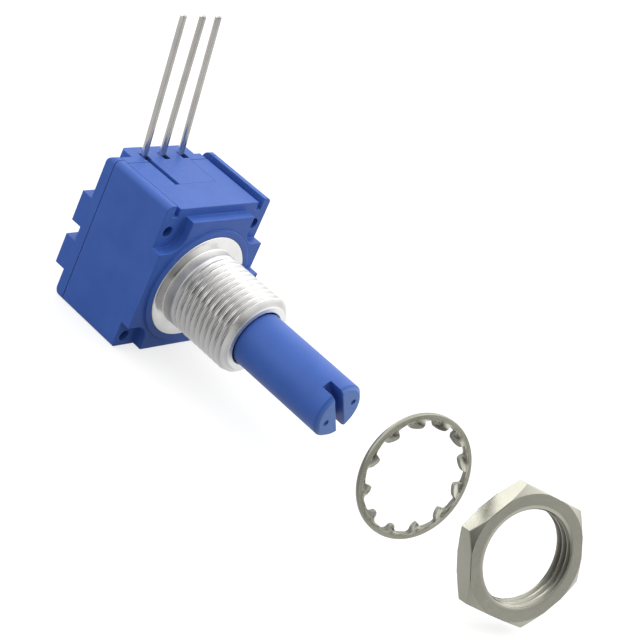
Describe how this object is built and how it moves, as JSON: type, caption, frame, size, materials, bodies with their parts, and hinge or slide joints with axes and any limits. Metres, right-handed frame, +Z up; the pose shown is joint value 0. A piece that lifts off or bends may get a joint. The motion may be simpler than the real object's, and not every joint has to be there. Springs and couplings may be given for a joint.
{
  "type": "rotary potentiometer",
  "caption": "Panel-mount rotary potentiometer: moulded square housing, threaded bushing, slotted shaft, wire leads, with its lock washer and nut lying loose in front.",
  "frame": {"origin": "on the shaft's axis, in the bushing's mounting face", "axes": "-Y forward along the shaft, +Z up along the wire leads, +X to the right seen from the front"},
  "size_m": [0.0176, 0.0634, 0.0325],
  "materials": {
    "housing_plastic": "moulded, satin",
    "cover_plastic": "moulded, satin",
    "plated_bushing": "bright nickel plate",
    "shaft_plastic": "moulded, satin",
    "seal_rubber": "matt",
    "spring_steel": "plain",
    "rotor_plastic": "moulded",
    "contact_brass": "bright",
    "substrate": "laminate",
    "carbon_ink": "matt ink",
    "silver_ink": "printed ink",
    "solder": "bright",
    "tinned_wire": "tinned",
    "washer_steel": "nickel plate",
    "plated_nut": "nickel plate"
  },
  "bodies": {
    "body": {"front_housing": "housing_plastic", "rear_cover": "cover_plastic", "bushing": "plated_bushing", "element_substrate": "substrate", "resistive_track": "carbon_ink", "collector_track": "silver_ink", "end_pads": "silver_ink", "solder_joints": "solder", "terminal_left": "tinned_wire", "terminal_centre": "tinned_wire", "terminal_right": "tinned_wire"},
    "shaft": {"shaft": "shaft_plastic", "shaft_seal": "seal_rubber", "retaining_ring": "spring_steel", "rotor": "rotor_plastic", "wiper": "contact_brass"},
    "washer": {"lock_washer": "washer_steel"},
    "nut": {"mounting_nut": "plated_nut"}
  },
  "joints": [
    {"name": "shaft_turn", "type": "hinge", "parent": "body", "child": "shaft", "pos_m": [0, 0, 0], "axis": [0, -1, 0], "range_deg": [-147.5, 147.5]},
    {"name": "washer_slide", "type": "slide", "parent": "body", "child": "washer", "axis": [0, 1, 0], "range_m": [0, 0.0195]},
    {"name": "nut_slide", "type": "slide", "parent": "body", "child": "nut", "axis": [0, 1, 0], "range_m": [0, 0.007]}
  ]
}
